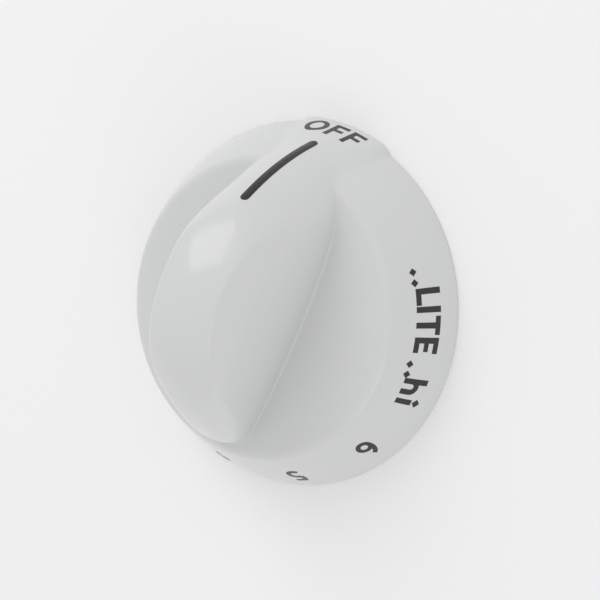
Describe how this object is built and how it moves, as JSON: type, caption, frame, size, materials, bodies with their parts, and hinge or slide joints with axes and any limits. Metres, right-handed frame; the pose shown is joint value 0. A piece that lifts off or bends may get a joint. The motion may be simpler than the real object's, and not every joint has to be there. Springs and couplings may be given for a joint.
{
  "type": "cooker control knob",
  "caption": "Moulded control knob of a gas cooker with a flared skirt, a domed finger grip, a pointer that runs to the rim, and a split hub with a ring spring for a stem with a flat.",
  "frame": {"origin": "on the valve stem's axis, in the plane of the back rim", "axes": "+Z out of the cooker along the stem, +Y to the pointer's indicator, +X to the right of the pointer seen from the front"},
  "size_m": [0.05, 0.0507, 0.0286],
  "materials": {
    "moulding": "glossy white moulding with dark printed marks",
    "spring": "drawn spring wire"
  },
  "bodies": {
    "root": {"knob_body": "moulding", "hub_spring": "spring"}
  },
  "joints": []
}
